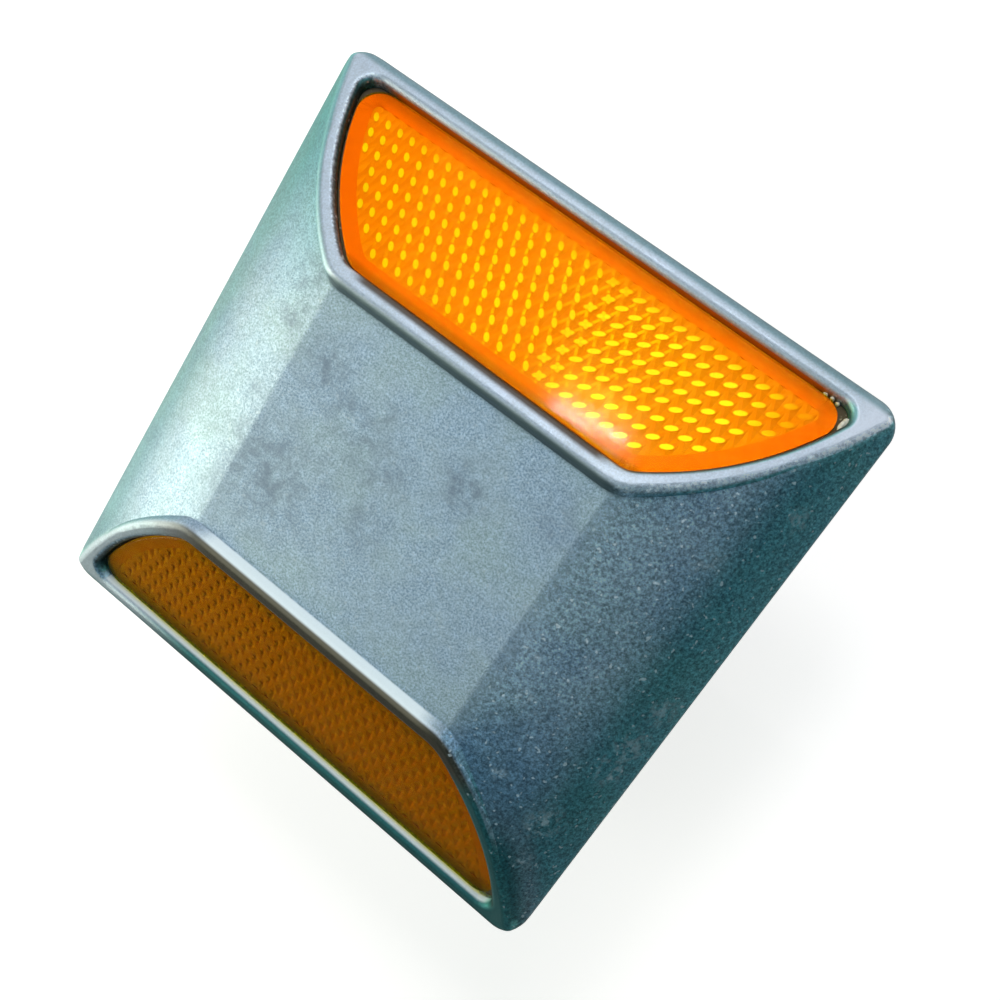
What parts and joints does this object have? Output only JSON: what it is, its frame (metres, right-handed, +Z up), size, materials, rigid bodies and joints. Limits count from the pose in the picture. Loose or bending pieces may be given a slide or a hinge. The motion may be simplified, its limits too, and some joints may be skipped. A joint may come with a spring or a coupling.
{
  "type": "road stud",
  "caption": "Low square die-cast road stud with amber reflectors bonded into its opposite sloping faces and a ringed shank below that is grouted into the road.",
  "frame": {"origin": "middle of the base, on the road surface, where the shank leaves the body", "axes": "+Z up out of the road, +X along the lenses, -Y out of the front lens"},
  "size_m": [0.1, 0.1, 0.0697],
  "materials": {
    "cast_metal": "die-cast aluminium with a matt, fine sand-grain skin, worn brighter along the rims",
    "shank_metal": "plain turned aluminium",
    "amber_lens": "clear amber acrylic, smooth in front, with a field of small prisms behind",
    "backing_plastic": "moulded amber plastic plate, matt",
    "adhesive": "cured structural adhesive, dark with road dirt in the gap, off-white where it has squeezed out"
  },
  "bodies": {
    "root": {"body_casting": "cast_metal", "anchor_shank": "shank_metal", "front_lens": "amber_lens", "rear_lens": "amber_lens", "front_lens_backing": "backing_plastic", "rear_lens_backing": "backing_plastic", "front_adhesive_bed": "adhesive", "rear_adhesive_bed": "adhesive"}
  },
  "joints": []
}
